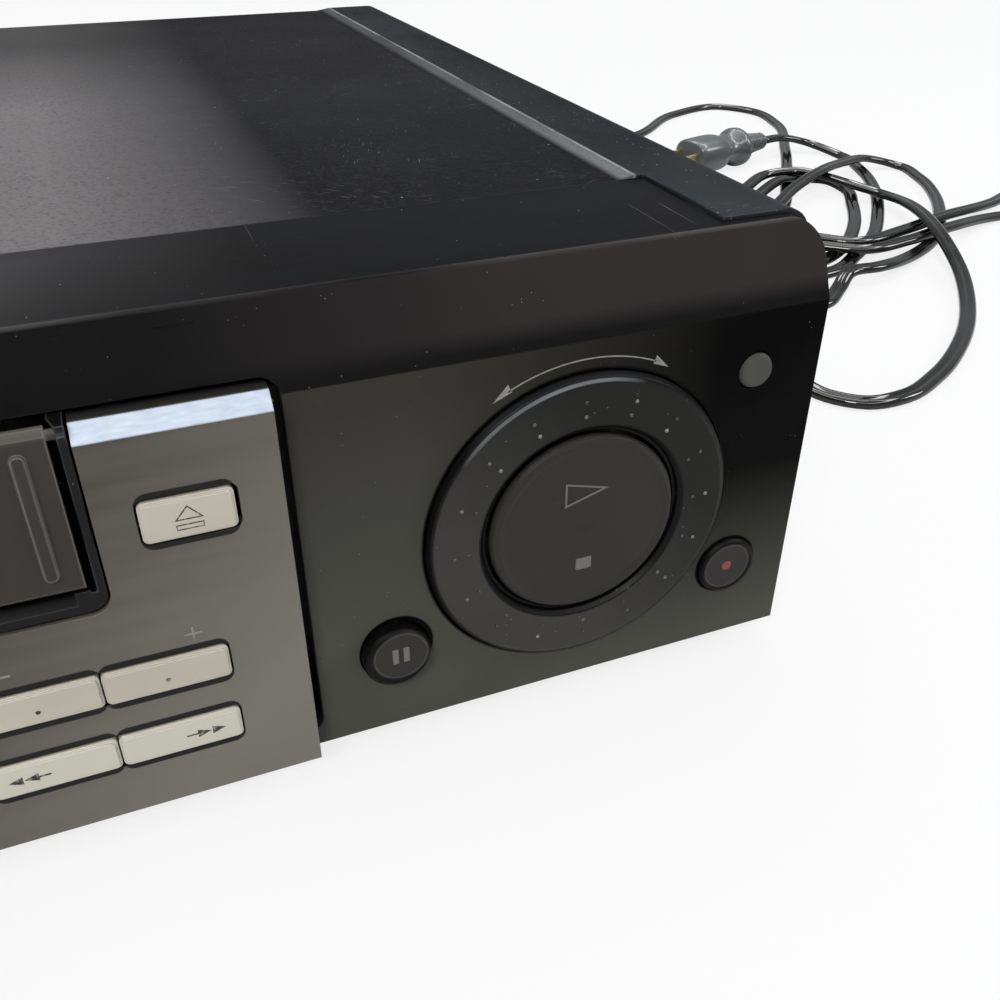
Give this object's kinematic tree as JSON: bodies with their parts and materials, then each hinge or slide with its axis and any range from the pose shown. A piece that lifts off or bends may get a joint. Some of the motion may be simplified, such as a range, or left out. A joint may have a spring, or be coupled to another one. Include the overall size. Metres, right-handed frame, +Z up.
{
  "type": "video cassette recorder",
  "caption": "Front-loading video cassette recorder with a swing-in cassette door, tape transport, round jog and shuttle dial, flat keys and a captive mains lead.",
  "frame": {"origin": "on the floor under the middle of the case, midway between the front of the silver keys and the back of the rear sockets", "axes": "+X to the right seen from the front, +Y to the back, +Z up; the front faces -Y"},
  "size_m": [0.7797, 0.4839, 0.0996],
  "materials": {
    "cover_paint": "fine textured charcoal enamel",
    "zinc_steel": "zinc plated sheet",
    "case_black": "satin moulded plastic",
    "panel_taupe": "brushed taupe lacquer with a pale chamfer",
    "gloss_black": "polished black",
    "door_brown": "satin brown-grey",
    "smoked_window": "smoked clear plastic",
    "display_glass": "unlit display glass",
    "red_window": "deep red infrared filter",
    "key_silver": "silver lacquer",
    "jog_grey": "grey moulded plastic",
    "foot_rubber": "matt rubber",
    "screw_black": "black oxide",
    "nickel": "nickel plate",
    "board_tan": "bare circuit laminate",
    "parts_dark": "moulded components",
    "core_steel": "laminated core",
    "drum_alu": "turned",
    "ivory_plastic": "self-lubricating plastic",
    "roller_rubber": "ground rubber",
    "lead_rubber": "dark grey sheath",
    "blade_brass": "plated brass"
  },
  "bodies": {
    "case": {"front_bezel": "case_black", "centre_panel": "panel_taupe", "door_frame": "gloss_black", "display_window": "smoked_window", "display_tube": "display_glass", "sensor_window": "red_window", "top_cover": "cover_paint", "chassis_pan": "zinc_steel", "feet": "foot_rubber", "rear_panel": "screw_black", "cover_screws": "screw_black", "signal_block": "gloss_black", "signal_sockets": "nickel", "aerial_sockets": "nickel", "tuner_box": "zinc_steel", "main_board": "board_tan", "board_parts": "parts_dark", "power_board": "board_tan", "transformer": "core_steel", "control_board": "board_tan", "key_switches": "parts_dark", "dial_hub": "gloss_black", "deck_plate": "zinc_steel", "carriage_frame": "zinc_steel", "lower_drum": "drum_alu", "tape_guides": "nickel", "loading_motor": "core_steel", "strain_relief": "foot_rubber", "mains_lead": "lead_rubber", "mains_plug": "lead_rubber", "plug_blades": "blade_brass"},
    "cassette_door": {"cassette_door": "door_brown"},
    "shuttle_ring": {"shuttle_ring": "case_black"},
    "play_stop_rocker": {"play_stop_rocker": "case_black"},
    "pause_key": {"pause_key": "case_black"},
    "record_key": {"record_key": "case_black"},
    "jog_key": {"jog_key": "jog_grey"},
    "power_key": {"power_key": "case_black"},
    "eject_key": {"eject_key": "key_silver"},
    "channel_up_key": {"channel_up_key": "key_silver"},
    "channel_down_key": {"channel_down_key": "key_silver"},
    "tracking_up_key": {"tracking_up_key": "key_silver"},
    "tracking_down_key": {"tracking_down_key": "key_silver"},
    "carriage_slider": {"carriage_slider": "zinc_steel"},
    "cassette_holder": {"cassette_holder": "zinc_steel"},
    "upper_drum": {"upper_drum": "drum_alu"},
    "supply_reel": {"supply_reel": "ivory_plastic"},
    "takeup_reel": {"takeup_reel": "ivory_plastic"},
    "capstan": {"capstan": "drum_alu"},
    "pinch_arm": {"pinch_arm": "zinc_steel"},
    "pinch_roller": {"pinch_roller": "roller_rubber"},
    "guide_left": {"guide_left": "nickel"},
    "guide_right": {"guide_right": "nickel"},
    "motor_pinion": {"motor_pinion": "ivory_plastic"},
    "cam_gear": {"cam_gear": "ivory_plastic"}
  },
  "joints": [
    {"name": "door_hinge", "type": "hinge", "parent": "case", "child": "cassette_door", "pos_m": [-0.0215, -0.1555, 0.0854], "axis": [1, 0, 0], "range_deg": [0, 90], "stiffness_Nm_per_rad": 0.01, "springref_deg": -17.19},
    {"name": "shuttle_turn", "type": "hinge", "parent": "case", "child": "shuttle_ring", "pos_m": [0.164, -0.154, 0.046], "axis": [0, 1, 0], "range_deg": [-75, 75], "stiffness_Nm_per_rad": 0.05},
    {"name": "play_stop_rock", "type": "hinge", "parent": "case", "child": "play_stop_rocker", "pos_m": [0.164, -0.149, 0.046], "axis": [1, 0, 0], "range_deg": [-3, 3], "stiffness_Nm_per_rad": 0.6},
    {"name": "pause_press", "type": "slide", "parent": "case", "child": "pause_key", "axis": [0, 1, 0], "range_m": [0, 0.001], "stiffness_N_per_m": 500},
    {"name": "record_press", "type": "slide", "parent": "case", "child": "record_key", "axis": [0, 1, 0], "range_m": [0, 0.001], "stiffness_N_per_m": 500},
    {"name": "jog_press", "type": "slide", "parent": "case", "child": "jog_key", "axis": [0, 1, 0], "range_m": [0, 0.001], "stiffness_N_per_m": 500},
    {"name": "power_press", "type": "slide", "parent": "case", "child": "power_key", "axis": [0, 1, 0], "range_m": [0, 0.001], "stiffness_N_per_m": 500},
    {"name": "eject_press", "type": "slide", "parent": "case", "child": "eject_key", "axis": [0, 1, 0], "range_m": [0, 0.001], "stiffness_N_per_m": 500},
    {"name": "channel_up_press", "type": "slide", "parent": "case", "child": "channel_up_key", "axis": [0, 1, 0], "range_m": [0, 0.001], "stiffness_N_per_m": 500},
    {"name": "channel_down_press", "type": "slide", "parent": "case", "child": "channel_down_key", "axis": [0, 1, 0], "range_m": [0, 0.001], "stiffness_N_per_m": 500},
    {"name": "tracking_up_press", "type": "slide", "parent": "case", "child": "tracking_up_key", "axis": [0, 1, 0], "range_m": [0, 0.001], "stiffness_N_per_m": 500},
    {"name": "tracking_down_press", "type": "slide", "parent": "case", "child": "tracking_down_key", "axis": [0, 1, 0], "range_m": [0, 0.001], "stiffness_N_per_m": 500},
    {"name": "carriage_run", "type": "slide", "parent": "case", "child": "carriage_slider", "axis": [0, 1, 0], "range_m": [0, 0.055]},
    {"name": "holder_drop", "type": "slide", "parent": "carriage_slider", "child": "cassette_holder", "axis": [0, 0, -1], "range_m": [0, 0.0213]},
    {"name": "drum_spin", "type": "hinge", "parent": "case", "child": "upper_drum", "pos_m": [-0.0215, 0.075, 0.026], "axis": [0, -0.1028, 0.9947], "continuous": true},
    {"name": "supply_reel_spin", "type": "hinge", "parent": "case", "child": "supply_reel", "pos_m": [-0.0675, -0.017, 0.028], "axis": [0, 0, 1], "continuous": true},
    {"name": "takeup_reel_spin", "type": "hinge", "parent": "case", "child": "takeup_reel", "pos_m": [0.0245, -0.017, 0.028], "axis": [0, 0, 1], "continuous": true},
    {"name": "capstan_spin", "type": "hinge", "parent": "case", "child": "capstan", "pos_m": [0.0405, 0.051, 0.026], "axis": [0, 0, 1], "continuous": true},
    {"name": "pinch_swing", "type": "hinge", "parent": "case", "child": "pinch_arm", "pos_m": [0.0645, 0.059, 0.034], "axis": [0, 0, 1], "range_deg": [-22, 0], "stiffness_Nm_per_rad": 0.01},
    {"name": "pinch_roller_spin", "type": "hinge", "parent": "pinch_arm", "child": "pinch_roller", "pos_m": [0.05319, 0.045, 0.044], "axis": [0, 0, 1], "continuous": true},
    {"name": "cam_turn", "type": "hinge", "parent": "case", "child": "cam_gear", "pos_m": [-0.07838, 0.05061, 0.016], "axis": [0, 0, 1], "range_deg": [0, 150]},
    {"name": "pinion_turn", "type": "hinge", "parent": "case", "child": "motor_pinion", "pos_m": [-0.0965, 0.082, 0.016], "axis": [0, 0, 1], "range_deg": [-452, 2]},
    {"name": "guide_left_run", "type": "slide", "parent": "case", "child": "guide_left", "axis": [-0.1871, 0.9823, 0], "range_m": [0, 0.0429]},
    {"name": "guide_right_run", "type": "slide", "parent": "case", "child": "guide_right", "axis": [0.1871, 0.9823, 0], "range_m": [0, 0.0429]}
  ],
  "couplings": [
    {"joint": "pinion_turn", "follows": "cam_turn", "ratio": -3},
    {"joint": "guide_left_run", "follows": "cam_turn", "m_per_rad": 0.016331},
    {"joint": "guide_right_run", "follows": "cam_turn", "m_per_rad": 0.016331}
  ]
}
